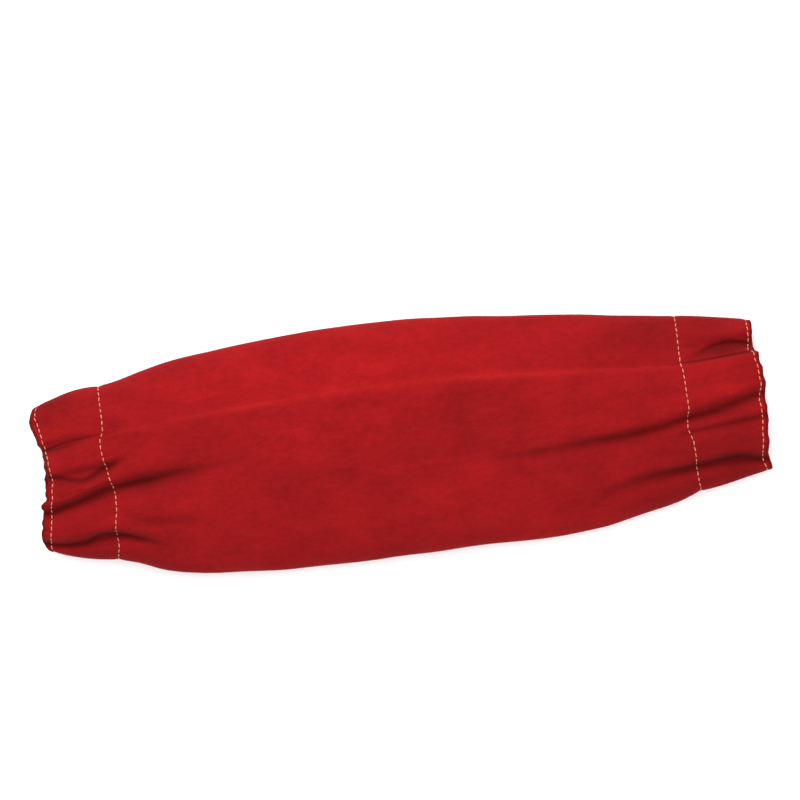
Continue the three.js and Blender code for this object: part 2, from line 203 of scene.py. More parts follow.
# Narrow folds of the top face. depth: less than 0 for a ridge. far, near: half widths of the two
# flanks. shade: how much painted shade darkens the fold. arm fade, wrist fade: lengths over which
# the fold's two ends die out. path: x and the share of the half width. Lengths are in millimetres.
FOLDS = (
    ("name", "depth", "far", "near", "shade", "arm fade", "wrist fade", "path"),
    (
        "arm seam fold", 1.8, 1.8, 3.5, 0.65, 1, 38,
        ((-297, 0.385), (-279, 0.365), (-258, 0.375), (-236, 0.415)),
    ),
    (
        "arm upper fold", 2.4, 2.4, 4.5, 0.7, 2, 30,
        ((-297, 0.04), (-284, 0.01), (-258, -0.07), (-236, 0.05), (-210, 0.18)),
    ),
    (
        "arm small fold", 1.2, 1.5, 3.0, 0.4, 8, 12,
        ((-284, -0.3), (-265, -0.19), (-250, -0.15)),
    ),
    (
        "arm deep fold", 3.0, 2.3, 4.5, 0.72, 1, 34,
        ((-297, -0.48), (-285, -0.45), (-268, -0.33), (-250, -0.225),
         (-235, -0.185), (-209, -0.135), (-172, -0.095)),
    ),
    (
        "arm deep fold's tail", 1.0, 4.5, 7.0, 0.3, 25, 35,
        ((-205, -0.13), (-165, -0.08), (-145, -0.05), (-105, -0.01)),
    ),
    (
        "arm ridge", -1.7, 2.4, 2.2, 0, 1, 22,
        ((-297, -0.38), (-291, -0.37), (-271, -0.24), (-230, -0.04)),
    ),
    (
        "arm near fold", 2.6, 2.1, 4.0, 1.1, 1, 44,
        ((-296, -0.87), (-275, -0.84), (-259, -0.79), (-247, -0.7),
         (-233, -0.71), (-210, -0.73), (-185, -0.75)),
    ),
    (
        "arm body crease", 1.0, 4.0, 6.0, 0.25, 20, 25,
        ((-232, -0.5), (-205, -0.53), (-185, -0.52), (-155, -0.55)),
    ),
    (
        "wrist far fold", 2.6, 2.0, 5.5, 0.5, 16, 1,
        ((234, 0.52), (244, 0.56), (260, 0.65), (270, 0.69), (285, 0.68), (297, 0.69)),
    ),
    (
        "wrist upper fold", 2.2, 2.4, 4.5, 0.4, 45, 1,
        ((145, -0.245), (176, -0.23), (206, -0.21), (230, -0.16),
         (247, -0.13), (270, -0.05), (290, 0.035), (297, 0.06)),
    ),
    (
        "wrist upper fold's tail", 1.7, 3.6, 7.0, 0.45, 50, 40,
        ((60, -0.28), (110, -0.265), (143, -0.245), (200, -0.215)),
    ),
    (
        "wrist soft fold", 1.4, 2.2, 3.5, 0.35, 14, 1,
        ((218, -0.34), (236, -0.33), (262, -0.31), (297, -0.27)),
    ),
    (
        "wrist near fold", 3.0, 2.4, 4.5, 0.8, 50, 1,
        ((165, -0.66), (190, -0.65), (208, -0.66), (230, -0.71),
         (249, -0.7), (265, -0.72), (284, -0.82), (297, -0.83)),
    ),
    (
        "wrist near fold's tail", 1.2, 6.0, 9.0, 0.3, 35, 30,
        ((130, -0.8), (155, -0.73), (180, -0.67), (215, -0.67)),
    ),
    (
        "body crease", 1.0, 7.0, 10.0, 0.1, 25, 25,
        ((40, -0.08), (58, -0.15), (91, -0.4), (117, -0.62), (135, -0.72)),
    ),
)

# Where a fold's painted shade is darkest and how wide it is, as shares of its far flank
SHADE_OFF = 0.2
SHADE_WIDTH = 0.9

# Lighter and darker patches: partly the nap's own uneven tone, partly painted shade under folds and
# painted light of the broad shading. x, y: middle. length, width: half sizes, all in millimetres.
# gain: how much lighter, or less than 0 where it is darker.
TONE_AND_PAINTED_SHADE_PATCHES = (
    ("x", "y", "length", "width", "gain"),
    (-55, 48, 75, 34, 0.2),
    (-75, 6, 32, 17, 0.2),
    (-183, -6, 26, 14, -0.28),
    (-60, -48, 50, 20, 0.13),
    (85, 45, 34, 20, 0.15),
    (35, -12, 32, 11, -0.12),
    (160, 9, 38, 11, -0.12),
    (226, -36, 30, 12, -0.2),
    (195, -72, 55, 13, -0.16),
    (205, 66, 42, 14, -0.2),
    (-252, -66, 24, 12, -0.22),
    (-270, 12, 13, 13, -0.15),
    (266, -45, 15, 20, -0.15),
    (266, 8, 15, 11, 0.2),
    (264, 39, 21, 5, -0.4),
    (-208, -12, 15, 10, -0.22),
    (245, -48, 42, 30, -0.13),
    (-262, -40, 20, 26, -0.12),
    (205, -14, 12, 9, 0.14),
    (-50, 34, 24, 6, -0.2),
    (-155, 48, 22, 9, 0.13),
    (212, 46, 32, 9, -0.16),
    (172, 28, 24, 9, 0.1),
    (-224, 36, 10, 4, -0.12),
    (260, -46, 12, 2.5, -0.35),
    (-272, 58, 26, 16, -0.34),
    (-276, -11, 10, 9, -0.17),
    (-196, -57, 20, 9, -0.14),
    (-155, 14, 24, 9, -0.11),
    (-156, -43, 20, 9, -0.1),
    (-108, -86, 18, 8, 0.13),
    (-72, 68, 13, 12, 0.14),
    (99, 60, 11, 10, 0.13),
    (254, 62, 34, 8, -0.14),
)

# Small scallops of the cuffs' edges. Like each form drawn from noise below, they have a height, a
# length along each axis and a start in the noise. The step keeps the two cuffs and faces unlike.
SCALLOP = (2.0 * MM, (5.5 * MM, 5.5 * MM, 5.5 * MM), 5.3)
SCALLOP_STEP = 0.1
SCALLOP_REACH = 9 * MM

# Power by which the scallops and the edge rows' wander die out towards the sides
EDGE_FADE = 8

# The edge rows' wander. across: share of the half width. The other columns: further from the edge
# than usual, in millimetres.
EDGE_ROW_WANDER = (
    ("across", "arm", "wrist"),
    (1.0, -1.8, -0.4),
    (0.76, 1.4, -1.5),
    (0.56, 0.8, 0.0),
    (0.35, -1.8, -0.6),
    (0.11, -1.4, -0.6),
    (-0.08, 0.2, 0.2),
    (-0.28, 1.2, 0.2),
    (-0.335, 3.4, 0.2),
    (-0.385, 2.9, 0.2),
    (-0.42, 1.9, 0.2),
    (-0.52, 2.7, 0.3),
    (-0.83, 2.5, 1.0),
    (-1.0, -0.8, 1.0),
)

# How finely the leather is divided round the sleeve: steps between the lines of the top face, steps
# underneath, and how even they are. 1 is even, and less is finer at both ends.
TOP_STEPS = (26, 22, 44, 38, 36, 24)
UNDER_STEPS = 62
EVEN_SHARE = 0.55

# How finely it is divided along X: distances between stops in the cuffs, in the body near the inner
# rows and how far that reaches, in the rest of the body, on the inner face, in the hems and along
# the bands. Turn steps: round each turned edge. Centring stops: to find the sleeve's middle.
CUFF_STOP = 1.6 * MM
NEAR_STOP = 2.2 * MM
NEAR_LENGTH = 90 * MM
BODY_STOP = 3.4 * MM
INNER_STOP = 10 * MM
HEM_STOP = 4.5 * MM
BAND_STOP = 6 * MM
TURN_STEPS = 8
CENTRING_STOPS = 60

# Relief that the whole thickness of the leather follows, with heights in millimetres
SWELL = (1.6, (0.11, 0.05, 0.05), 23.1)
RIPPLE = (0.6, (0.035, 0.018, 0.02), 31.9)
WRINKLE = (1.5, (0.07, 0.011, 0.02), 11.3)

# How much of the swell the cuffs lose, and where their relief begins and is full, in metres past
# the inner rows
SWELL_LOSS = 0.5
CUFF_RELIEF = (-0.05, 0.01)

# The long seam from cuff to cuff. along: share of the body's span. lip: how proud its near panel
# stands. The third column: how strong the painted highlight along the lip is there.
SEAM_LOOKS = (
    ("along", "lip", "seam_highlight"),
    (0.0, 1.0, 0.4),
    (0.1, 0.6, 0.3),
    (0.17, 0.8, 0.7),
    (0.24, 0.9, 1.0),
    (0.31, 0.8, 0.7),
    (0.45, 0.6, 0.4),
    (0.52, 0.5, 0.25),
    (0.585, 0.8, 0.9),
    (0.65, 1.0, 1.1),
    (0.75, 1.0, 1.1),
    (0.82, 1.0, 1.0),
    (0.9, 1.0, 0.6),
    (1.0, 1.0, 0.5),
)

# Relief of the outer face alone, in millimetres: the seam's lip and groove, and the pull and
# puckers of the stitch rows. Lip gain at wrist: how much higher the lip gets there, as a share.
LIP_HEIGHT = 1.8
LIP_GAIN_AT_WRIST = 0.8
LIP_RISE_IN_BODY = 3.2
LIP_RISE_IN_CUFF = 1.5
LIP_FADE = 14.0
GROOVE_DEPTH = 0.6
GROOVE_WIDTH = 0.9
ROW_PULL = 0.55
ROW_PULL_WIDTH = 1.7
PUCKER = (0.9, (0.05, 0.0055, 0.02), 3.7)
PUCKER_REACH = 9.0
DEEPEST = 0.9

# How much of the groove is left in the body, and how far either side of the inner rows it changes
BODY_GROOVE = 0.05
GROOVE_BLEND = 20 * MM

# The band of painted highlight along the seam's lip, in millimetres above the seam, and how
# unevenly strong it is
HIGHLIGHT_MIDDLE = -0.6
HIGHLIGHT_WIDTH = 3.4
HIGHLIGHT_MEAN = 0.9
HIGHLIGHT_UNEVEN = (0.5, (0.035, 0.02, 0.02), 47.3)

# The shaded band above the seam, in millimetres above it, and where along X it begins and is full
SHADED_MIDDLE = 2.5
SHADED_WIDTH = 2.8
SHADED_SEAM = (0.08, 0.16)

# Width of the painted shade line in the seam's groove in millimetres, how far from a cuff's edge
# the dark rim begins to fade and ends, and the sink at which a valley's painted shade is darkest
GROOVE_SHADE_WIDTH = 1.3
RIM_FADE = (1.2 * MM, 2.8 * MM)
DARKEST_SINK = 6 * MM

# The stitches. Sink: how far a stitch's ends dip. Dip power: how late they do. Seat: how far its
# middle stands off the leather, as a share of its thickness. Row points: a row's path on each face.
STITCH_PITCH = 5.0 * MM
STITCH_LENGTH = 3.9 * MM
STITCH_THICKNESS = 0.8 * MM
STITCH_SINK = 0.45 * MM
STITCH_DIP_POWER = 4
STITCH_STRAY = 0.3 * MM
STITCH_SEAT = 0.25
STITCH_SIDES = 8
STITCH_RINGS = 10
STITCH_SEED = 7
ROW_POINTS = 1400

# Colours, as linear red, green and blue
SUEDE_BRIGHT = (0.225, 0.0044, 0.0056)
SUEDE_DEEP = (0.14, 0.0026, 0.0034)
# Painted highlight along the seam's lip
SUEDE_SEAM_HIGHLIGHT = (0.36, 0.011, 0.011)
# Painted shade for valleys, folds, the seam's groove and the band above the seam
SUEDE_PAINTED_SHADE = (0.05, 0.0014, 0.0016)
SUEDE_RIM = (0.07, 0.0018, 0.002)
SUEDE_INSIDE = (0.12, 0.004, 0.005)
# The thread's cream in a paler and a darker tone, each with a painted red reflection of the leather
THREAD_PALE_REDDENED = (0.58, 0.22, 0.125)
THREAD_DARK_REDDENED = (0.4, 0.12, 0.06)
WEBBING = (0.78, 0.76, 0.7)
FLOOR_GREY = (0.9, 0.9, 0.9)

# Noise of the suede: scale, detail and stretch, and what each adds to the tone and to the relief
NAP_NOISES = {
    "cloud": (14, 4, (1, 1, 1)),
    "brushed": (55, 5, (0.5, 1, 1)),
    "tufts": (260, 5, (0.6, 1, 1)),
    "nap": (1400, 3, (1, 1, 1)),
}
TONE_WEIGHTS = {"cloud": 1, "brushed": 1, "nap": 0.6, "tufts": 0.7}
TONE_RANGE = (1.22, 2.06)
RELIEF_WEIGHTS = {"nap": 1, "brushed": 2.0, "tufts": 1.6}

# What draws the suede's colour to another one, in this order: attribute, how far, and the colour
NAP_COLOURS = (
    # The seam's painted highlight
    ("seam_highlight", 0.26, SUEDE_SEAM_HIGHLIGHT),
    # Painted shade above the seam, in valleys, in the seam's groove and in folds
    ("above_seam", 0.16, SUEDE_PAINTED_SHADE),
    ("valley_shade", 0.35, SUEDE_PAINTED_SHADE),
    ("groove", 0.6, SUEDE_PAINTED_SHADE),
    ("shade", 0.75, SUEDE_PAINTED_SHADE),
    ("inside", 1, SUEDE_INSIDE),
    ("rim", 0.8, SUEDE_RIM),
)

# Surfaces: roughness of each material, the suede's shine, and each bump's distance and strength
ROUGHNESS = {"red_suede": 0.95, "reddened_thread": 0.6, "elastic_webbing": 0.85, "pale_floor": 0.9}
SUEDE_SHINE = {
    "Specular IOR Level": 0.06,
    "Sheen Weight": 0.06,
    "Sheen Roughness": 0.5,
    "Sheen Tint": (1.0, 0.25, 0.25, 1),
}
SUEDE_BUMP = (0.0007, 0.6)
WEBBING_BUMP = (0.0004, 0.6)

# The thread's noise and the part of it that spans the two colours, and the webbing's ribs
THREAD_NOISE = (260, 3, (1, 1, 1))
THREAD_RANGE = (0.35, 0.65)
RIB_SCALE = 160
RIB_WAVER = 0.6

# The floor, and a gap that keeps it from sharing a plane with the sleeve
FLOOR_SIZE = 60.0
FLOOR_GAP = 0.3 * MM

# Soft light from the far side, weaker light from the near side and from above. Each has a place, a
# size in metres and a power in watts.
LIGHTS = (
    ("key_light", (-0.5, 1.8, 1.5), 1.3, 66),
    ("fill_light", (0.6, -1.6, 1.9), 1.8, 20),
    ("top_light", (0.0, 0.2, 2.9), 2.0, 22),
)

# The camera looks straight down, turned as the sleeve lies in the photograph. View width: what it
# sees at the sharp height. View up, right: the picture's middle from the sleeve's.
TURN = math.radians(6.78)
VIEW_WIDTH = 0.6357
VIEW_UP = 30.2 * MM
VIEW_RIGHT = -0.4 * MM
SHARP_HEIGHT = 11 * MM
CAMERA_HEIGHT = 2.1
SENSOR = 36.0


def columns(rows):
    """A table's columns by name, each as an array."""
    return dict(zip(rows[0], np.array(rows[1:], float).T))


def records(rows):
    """A table's rows, each with its values by name."""
    return [dict(zip(rows[0], row)) for row in rows[1:]]


def smooth(stops, values, at):
    """A smooth curve through a table's values."""
    stops = np.asarray(stops, float)
    values = np.asarray(values, float)
    slopes = np.zeros_like(values)
    slopes[1:-1] = (values[2:] - values[:-2]) / (stops[2:] - stops[:-2])
    slopes[0] = (values[1] - values[0]) / (stops[1] - stops[0])
    slopes[-1] = (values[-1] - values[-2]) / (stops[-1] - stops[-2])
    at = np.clip(at, stops[0], stops[-1])
    i = np.clip(np.searchsorted(stops, at, side="right") - 1, 0, len(stops) - 2)
    width = stops[i + 1] - stops[i]
    rise = values[i + 1] - values[i]
    t = (at - stops[i]) / width
    bulge = (1 - t) * slopes[i] * width - t * slopes[i + 1] * width
    return values[i] + rise * t + t * (1 - t) * (bulge - (1 - 2 * t) * rise)


def ease(value, start, stop):
    """0 up to the start, 1 from the stop on, and a smooth rise between."""
    t = np.clip((value - start) / (stop - start), 0, 1)
    return t * t * (3 - 2 * t)


def mix(a, b, share):
    """The value this share of the way from a to b."""
    return a + (b - a) * share


def bell(off):
    """1 where off is 0, dying out smoothly on both sides."""
    return np.exp(-(off**2))


def noise_over(points, size, start):
    """Smooth noise over the points, with its own size of form along each axis."""
    place = (points / np.array(size)).reshape(-1, 3) + start
    values = [noise.noise(Vector(p)) for p in place]
    return np.array(values).reshape(points.shape[:-1])


def noise_form(points, form):
    """Height over the points of a form drawn from noise."""
    height, size, start = form
    return height * noise_over(points, size, start)


def cuff_share(x, cuff):
    """0 at a cuff's edge, 1 at its inner row, more in the body."""
    if cuff == "arm":
        return (x - ARM_EDGE) / ARM_CASING
    return (WRIST_EDGE - x) / WRIST_CASING


def into_body(x, cuff):
    """How far past a cuff's inner row x lies, as a share of the body's span."""
    return (x - ARM_ROW if cuff == "arm" else WRIST_ROW - x) / BODY_SPAN


def into_cuff(x):
    """How far past the nearer inner row x lies towards a cuff's edge, less than 0 in the body."""
    return np.maximum(ARM_ROW - x, x - WRIST_ROW)


def section_at(x):
    """The cross-section's two half widths, its height, and the height of its side folds."""
    sections = columns(BODY_SECTIONS)
    along = np.clip((x - ARM_ROW) / BODY_SPAN, 0, 1)
    row = mix(ARM_ROW_WIDTH, WRIST_ROW_WIDTH, along) / 2
    up = mix(row, BODY_WIDTH / 2, smooth(sections["along"], sections["up"], along))
    down = mix(row, BODY_WIDTH / 2, smooth(sections["along"], sections["down"], along))
    height = mix(ROW_HEIGHT, BODY_HEIGHT, smooth(sections["along"], sections["crown"], along))
    for cuff, edge, at_row, power in (
        ("arm", ARM_EDGE_WIDTH, ARM_ROW_WIDTH, ARM_CUFF_BOW),
        ("wrist", WRIST_EDGE_WIDTH, WRIST_ROW_WIDTH, WRIST_CUFF_BOW),
    ):
        share = cuff_share(x, cuff)
        within = np.clip(share, 0, 1)
        half = mix(edge, at_row, 1 - (1 - within) ** power) / 2
        in_cuff = share < 1
        up = np.where(in_cuff, half, up)
        down = np.where(in_cuff, half, down)
        height = np.where(in_cuff, mix(EDGE_HEIGHT, ROW_HEIGHT, within), height)
    return up, down, height, height * SIDE_SHARE


def line_at(name, x):
    """Where one of the top face's lines lies at x, as a share of the half width."""
    return smooth(LINE_STOPS, TOP_LINES[name], x)


def eased_steps(count):
    """Steps from 0 up to 1 that are finer at both ends."""
    t = np.arange(count) / count
    return EVEN_SHARE * t + (1 - EVEN_SHARE) * (1 - np.cos(math.pi * t)) / 2


def round_the_sleeve(x):
    """Once round at each x: shares of the half width, over the top and back underneath."""
    names = list(TOP_LINES)
    strips = []
    for count, start, stop in zip(TOP_STEPS, names, names[1:]):
        first = line_at(start, x)[:, None]
        last = line_at(stop, x)[:, None]
        strips.append(mix(first, last, eased_steps(count)[None, :]))
    under = mix(-1.0, 1.0, eased_steps(UNDER_STEPS))[None, :]
    strips.append(np.repeat(under, len(x), axis=0))
    across = np.concatenate(strips, axis=1)
    top = np.arange(across.shape[1]) < sum(TOP_STEPS)
    return across, np.repeat(top[None, :], len(x), axis=0)


def valley_depth(gather, x):
    """Depth of a gather's valley: set in the cuff by its table, then fading into the body."""
    past = into_body(x, gather["cuff"])
    within = np.clip(cuff_share(x, gather["cuff"]), 0, 1)
    cuff = smooth((0, 0.5, 1), (gather["edge"], gather["casing"], gather["row"]), within)
    fade = np.cos(math.pi / 2 * np.clip(past / gather["reach"], 0, 1)) ** 2
    return np.where(past > 0, gather["row"] * fade, cuff) * MM


def top_sink(x, across, y, half, depth):
    """How far the top face sinks. Valleys grow wider in deeper layers, to keep the plies apart."""
    sink = np.zeros_like(y)
    for gather in records(TOP_GATHERS):
        away = y - line_at(gather["line"], x) * half
        width = np.where(away > 0, gather["far"], gather["near"]) * MM + depth
        sink += valley_depth(gather, x) * bell(away / width)
    sink += folds_at(x, y, half, depth)[0]
    along = (x - ARM_ROW) / BODY_SPAN
    for dent in records(DENTS):
        off_x = (along - dent["along"]) / dent["length"]
        off_y = (across - dent["across"]) * half / (dent["width"] * BODY_WIDTH)
        sink += dent["depth"] * MM * np.exp(-(off_x**2) - off_y**2)
    return sink * (1 - np.abs(across) ** SIDE_FADE)


def folds_at(x, y, half, depth):
    """How far the narrow folds sink a point, and how much painted shade they give it there."""
    sink = np.zeros_like(y)
    shade = np.zeros_like(y)
    for fold in records(FOLDS):
        path = np.array(fold["path"])
        stops = path[:, 0] * MM
        away = y - smooth(stops, path[:, 1], x) * half
        within = ease(x, stops[0], stops[0] + fold["arm fade"] * MM)
        within = within * (1 - ease(x, stops[-1] - fold["wrist fade"] * MM, stops[-1]))
        width = np.where(away > 0, fold["far"], fold["near"]) * MM + depth
        sink += fold["depth"] * MM * bell(away / width) * within
        off = (away / MM - SHADE_OFF * fold["far"]) / (SHADE_WIDTH * fold["far"])
        shade = np.maximum(shade, fold["shade"] * within * bell(off))
    return sink, shade


def tone_with_painted_shade(x, y):
    """How light the leather's colour is made, 1 as usual: partly the nap's own tone, partly painted
    shade and painted light.
    """
    tone = np.ones_like(y)
    for patch in records(TONE_AND_PAINTED_SHADE_PATCHES):
        off_x = (x / MM - patch["x"]) / patch["length"]
        off_y = (y / MM - patch["y"]) / patch["width"]
        tone += patch["gain"] * np.exp(-(off_x**2) - off_y**2)
    return tone


def under_rise(x, across, half, depth):
    """How far the gathers lift the underside off the ground, in and near the cuffs."""
    past = into_cuff(x) / BODY_SPAN
    rise = np.zeros_like(across * half)
    for gather in records(UNDER_GATHERS):
        away = (across - gather["across"]) * half
        rise += gather["depth"] * MM * bell(away / (UNDER_SPREAD + depth))
    return rise * ease(past, -UNDER_REACH, 0) * (1 - np.abs(across) ** SIDE_FADE)


def wave_shift(x, across, top):
    """How far the wavy edges and rows shift a point along X."""
    waves = columns(WAVES)
    total = np.zeros_like(across)
    along_edge = across * ARM_EDGE_WIDTH / 2
    cuff_step = np.sign(x) * SCALLOP_STEP
    face_step = np.where(top, 0.0, SCALLOP_STEP)
    spot = np.stack([along_edge, cuff_step, face_step], axis=-1)
    scallop = noise_form(spot, SCALLOP) * (1 - across**EDGE_FADE)
    for cuff, sign, casing in (("arm", 1, ARM_CASING), ("wrist", -1, WRIST_CASING)):
        share = cuff_share(x, cuff)
        past_row = into_body(x, cuff) * BODY_SPAN
        parts = []
        for name in (f"{cuff} edge", f"{cuff} row"):
            shifts = waves[name]
            over = np.interp(across, waves["across"][::-1], shifts[::-1])
            under = mix(shifts[-1], shifts[0], (across + 1) / 2)
            under = under + UNDER_BOWS[name] * (1 - across**2)
            parts.append(np.where(top, over, under) * MM)
        at_edge, at_row = parts
        back = mix(at_edge, at_row, ease(share, 0, 1))
        total += sign * back * (1 - ease(past_row, 0, WAVE_FADE))
        total += sign * scallop * (1 - ease(share * casing, 0, SCALLOP_REACH))
    return total


def over_allowance(away):
    """1 over the strip inside the wall that the two turned-in edges of the long seam cover."""
    covered = ease(away, -SEAM_ALLOWANCE - ALLOWANCE_FADE, -SEAM_ALLOWANCE)
    return covered * (1 - ease(away, 0, ALLOWANCE_FADE))


def layer(x, across, top, depth, allowance=0.0, shift=0.0):
    """Points of the layer this deep under the outer face, and what is known of them.

    Besides the points: the outer face's outward direction, the distance from the seam, how far the
    face sinks, its folds' painted shade, and the same spots on the plain section without relief.
    """
    x = x * np.ones_like(across)
    up, down, height, side_height = section_at(x)
    half = np.where(across > 0, up, down)
    side = np.abs(across)
    y = across * half
    crown = np.sqrt(np.maximum(0, 1 - side**CROWN_POWER))
    curl = np.maximum(0, (side - FLAT_SHARE) / (1 - FLAT_SHARE))
    level = np.sqrt(np.maximum(0, 1 - curl**2))
    rise = height - side_height
    slope = np.where(
        top,
        rise * CROWN_POWER * side ** (CROWN_POWER - 1) / (2 * half),
        side_height * curl / ((1 - FLAT_SHARE) * half),
    )
    z = np.where(top, side_height + rise * crown, side_height * (1 - level))
    out_y = np.sign(across) * slope
    out_z = np.where(top, crown, -level)
    size = np.hypot(out_y, out_z)
    out_y = out_y / size
    out_z = out_z / size
    seam_away = y - line_at("seam", x) * half
    nominal = np.stack([x, y, z], axis=-1)
    broad = broad_relief(nominal)
    broad = np.where(top, broad, broad - np.maximum(broad, 0) * level)
    seam_layers = ALLOWANCE_LAYERS * LEATHER * over_allowance(seam_away) * allowance
    inset = depth - broad + np.where(top, seam_layers, 0)
    sink = np.where(top, top_sink(x, across, y, half, depth), -under_rise(x, across, half, depth))
    shade = np.where(top, folds_at(x, y, half, depth)[1], 0)
    x = x + wave_shift(x, across, top) + shift
    points = np.stack([x, y - inset * out_y, z - inset * out_z - sink], axis=-1)
    outward = np.stack([np.zeros_like(y), out_y, out_z], axis=-1)
    return points, outward, seam_away, sink, shade, nominal


def groove_share(x):
    """How deep the seam's groove is drawn in: fully in the cuffs, barely in the body."""
    return mix(BODY_GROOVE, 1, ease(into_cuff(x), -GROOVE_BLEND, GROOVE_BLEND))


def seam_look(name, x):
    """One of the columns of the seam's table, at x."""
    looks = columns(SEAM_LOOKS)
    return smooth(looks["along"], looks[name], (x - ARM_ROW) / BODY_SPAN)


def broad_relief(nominal):
    """Height of the swells and wrinkles, the same in every layer."""
    in_cuffs = ease(into_cuff(nominal[..., 0]), *CUFF_RELIEF)
    height = noise_form(nominal, SWELL) * (1 - SWELL_LOSS * in_cuffs)
    height += noise_form(nominal, RIPPLE)
    height += noise_form(nominal, WRINKLE) * in_cuffs
    return height * MM


def fine_relief(nominal, seam_away, top):
    """Height of the seam's groove and lip, and of the pull and puckers of the stitch rows."""
    x = nominal[..., 0]
    away = seam_away / MM
    below = np.minimum(away, 0)
    lip_rise = mix(LIP_RISE_IN_BODY, LIP_RISE_IN_CUFF, groove_share(x))
    lip = LIP_HEIGHT * np.exp(below / LIP_FADE) * (1 - np.exp(below / lip_rise))
    lip *= seam_look("lip", x)
    lip *= 1 + LIP_GAIN_AT_WRIST * ease(x, WRIST_ROW, WRIST_EDGE)
    groove = GROOVE_DEPTH * groove_share(x) * bell(away / GROOVE_WIDTH)
    height = np.where(top, lip - groove, 0)
    puckers = noise_form(nominal, PUCKER)
    for cuff, casing in (("arm", ARM_CASING), ("wrist", WRIST_CASING)):
        from_edge = cuff_share(x, cuff) * casing
        for at in (EDGE_ROW_INSET, casing):
            off = (from_edge - at) / MM
            height -= ROW_PULL * bell(off / ROW_PULL_WIDTH)
            height += puckers * np.exp(-np.abs(off) / PUCKER_REACH)
    return np.maximum(height, -DEEPEST) * MM


def spaced(start, stop, step):
    """Evenly spaced places from start to stop, about a step apart."""
    count = max(2, int(round(abs(stop - start) / step)) + 1)
    return list(np.linspace(start, stop, count))


def casing_stops(casing):
    """Distances from a cuff's edge to the places where its hem changes."""
    middle = (EDGE_ROW_INSET + casing) / 2
    return middle - BAND_WIDTH / 2, middle + BAND_WIDTH / 2


def cuff_profile(edge, inward, casing):
    """Stops of one cuff, from the outer face near the inner row round to the wall's inner face.

    Each stop has its x, its depth under the outer face, the share of the seam allowance that lies
    over it, a shift along X, and the zone of the leather that it belongs to.
    """
    band_start, band_end = casing_stops(casing)
    tight = LEATHER + CLEARANCE
    wide = LEATHER + POCKET
    stops = []
    for off in spaced(casing, TURN_RADIUS, CUFF_STOP)[1:]:
        stops.append((edge + inward * off, 0.0, 0.0, 0.0, "outer"))
    for i in range(1, TURN_STEPS):
        angle = math.pi * i / TURN_STEPS
        deep = TURN_RADIUS * (1 - math.cos(angle))
        back = -inward * TURN_RADIUS * math.sin(angle)
        stops.append((edge + inward * TURN_RADIUS, deep, 0.0, back, "turn"))
    hem = [(TURN_RADIUS, tight), (EDGE_ROW_INSET, tight), (band_start, wide)]
    hem += [(off, wide) for off in spaced(band_start, band_end, HEM_STOP)[1:-1]]
    hem += [(band_end, wide), (casing, tight), (casing + HEM_PAST_ROW, tight)]
    for off, deep in hem:
        stops.append((edge + inward * off, deep + LEATHER, 1.0, 0.0, "hem"))
    for off, deep in reversed(hem):
        stops.append((edge + inward * off, deep, 0.0, 0.0, "pocket"))
    stops.append((edge + inward * TURN_RADIUS, TURN_RADIUS, 0.0, -inward * CLEARANCE / 2, "pocket"))
    for off, _ in hem[:-2]:
        stops.append((edge + inward * off, LEATHER, 0.0, 0.0, "pocket"))
    return stops


def body_outer_stops():
    """Places of the outer face from inner row to inner row, finer near both."""
    arm_end = ARM_ROW + NEAR_LENGTH
    wrist_start = WRIST_ROW - NEAR_LENGTH
    first = spaced(ARM_ROW, arm_end, NEAR_STOP)
    middle = spaced(arm_end, wrist_start, BODY_STOP)[1:-1]
    last = spaced(wrist_start, WRIST_ROW, NEAR_STOP)
    return first + middle + last


def body_inner_stops():
    """Stops of the inner face between the hems, where the seam allowance lies on it."""
    past = HEM_PAST_ROW
    inner = [ARM_ROW] + spaced(ARM_ROW + past, WRIST_ROW - past, INNER_STOP) + [WRIST_ROW]
    fade = 2 * past
    found = []
    for x in inner:
        allowance = float(ease(min(x - ARM_ROW, WRIST_ROW - x), past, fade))
        found.append((x, LEATHER, allowance, 0.0, "inner"))
    return found


def sleeve_profile():
    """Stops of the leather's whole closed profile."""
    outer = [(x, 0.0, 0.0, 0.0, "outer") for x in body_outer_stops()]
    wrist = cuff_profile(WRIST_EDGE, -1, WRIST_CASING)
    arm = cuff_profile(ARM_EDGE, 1, ARM_CASING)
    return outer + wrist + body_inner_stops()[::-1] + arm[::-1]


def centring():
    """The shift that brings the sleeve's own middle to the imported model's."""
    x = np.linspace(ARM_EDGE + TURN_RADIUS, WRIST_EDGE - TURN_RADIUS, CENTRING_STOPS)
    across, top = round_the_sleeve(x)
    points = layer(x[:, None], across, top, 0.0)[0].reshape(-1, 3)
    middle = (points.min(axis=0) + points.max(axis=0)) / 2
    return np.array([(LOW.x + HIGH.x) / 2 - middle[0], (LOW.y + HIGH.y) / 2 - middle[1], 0.0])


CENTRE_SHIFT = centring()


def mesh_object(name, points, faces):
    mesh = bpy.data.meshes.new(name)
    mesh.from_pydata([tuple(p) for p in points], [], faces)
    mesh.update()
    mesh.polygons.foreach_set("use_smooth", [True] * len(mesh.polygons))
    piece = bpy.data.objects.new(name, mesh)
    bpy.context.scene.collection.objects.link(piece)
    return piece


def give_attribute(piece, name, values):
    attribute = piece.data.attributes.new(name, "FLOAT", "POINT")
    attribute.data.foreach_set("value", np.asarray(values, np.float32).ravel())


def skin(profile_count, around):
    """Faces of a closed profile carried once round the sleeve."""
    faces = []
    for i in range(profile_count):
        this = i * around
        following = ((i + 1) % profile_count) * around
        for k in range(around):
            onward = (k + 1) % around
            faces.append((this + k, this + onward, following + onward, following + k))
    return faces


def outer_points(x, across, top):
    """The finished outer face with its fine relief, and the way it looks."""
    points, outward, seam_away, _, _, nominal = layer(x, across, top, np.zeros_like(across))
    relief = fine_relief(nominal, seam_away, top)
    points = points + outward * relief[..., None]
    points[..., 2] = np.maximum(points[..., 2], 0.0)
    return points, outward


